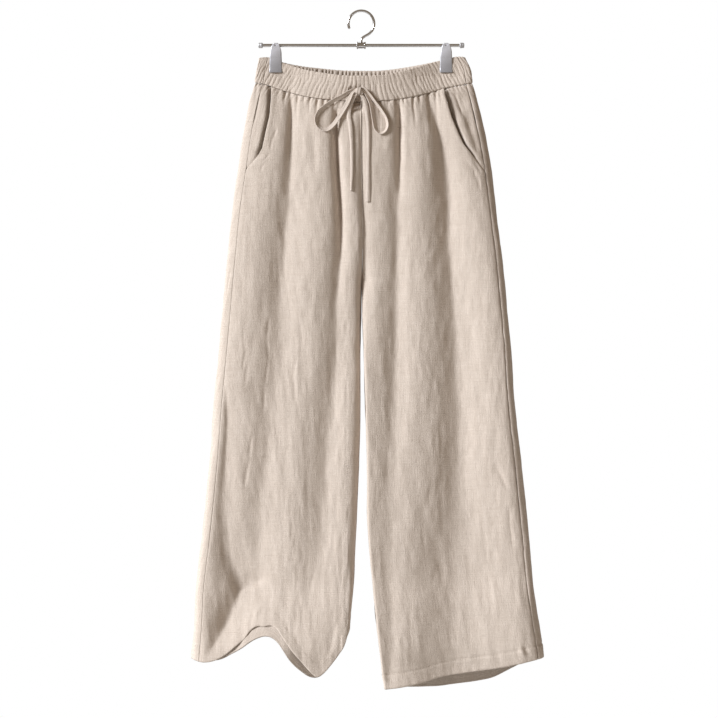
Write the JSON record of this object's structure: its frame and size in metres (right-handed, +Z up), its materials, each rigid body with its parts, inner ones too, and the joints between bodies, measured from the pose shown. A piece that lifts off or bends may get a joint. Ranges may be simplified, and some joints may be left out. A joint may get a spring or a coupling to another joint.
{
  "type": "linen drawstring trousers on a clip hanger",
  "caption": "Wide-legged linen trousers with a gathered drawstring waist and slanted hip pockets, held open-legged by the clips of a plain bar hanger.",
  "frame": {"origin": "the point inside the hook that bears on a rail", "axes": "+Z up, along the legs towards the hook; the front of the trousers faces -Y; the wearer's left leg is at +X"},
  "size_m": [0.5474, 0.0703, 1.0603],
  "materials": {
    "linen": "matt slubbed linen",
    "drawstring": "matt pressed linen tape",
    "clip": "satin grey",
    "wire": "polished"
  },
  "bodies": {
    "root": {"front_right": "linen", "front_left": "linen", "back_right": "linen", "back_left": "linen", "hem_right": "linen", "hem_left": "linen", "pocket_facing_right": "linen", "pocket_facing_left": "linen", "waistband_front": "linen", "waistband_back": "linen", "drawstring_right_loop": "drawstring", "drawstring_left_loop": "drawstring", "drawstring_right_tail": "drawstring", "drawstring_left_tail": "drawstring", "drawstring_knot": "drawstring", "hanger_bar": "wire", "hanger_socket": "wire", "hanger_cap_right": "clip", "hanger_cap_left": "clip", "hanger_hook": "wire", "clip_right_front_jaw": "clip", "clip_right_back_jaw": "clip", "clip_right_saddle": "clip", "clip_right_spring": "wire", "clip_left_front_jaw": "clip", "clip_left_back_jaw": "clip", "clip_left_saddle": "clip", "clip_left_spring": "wire"}
  },
  "joints": []
}
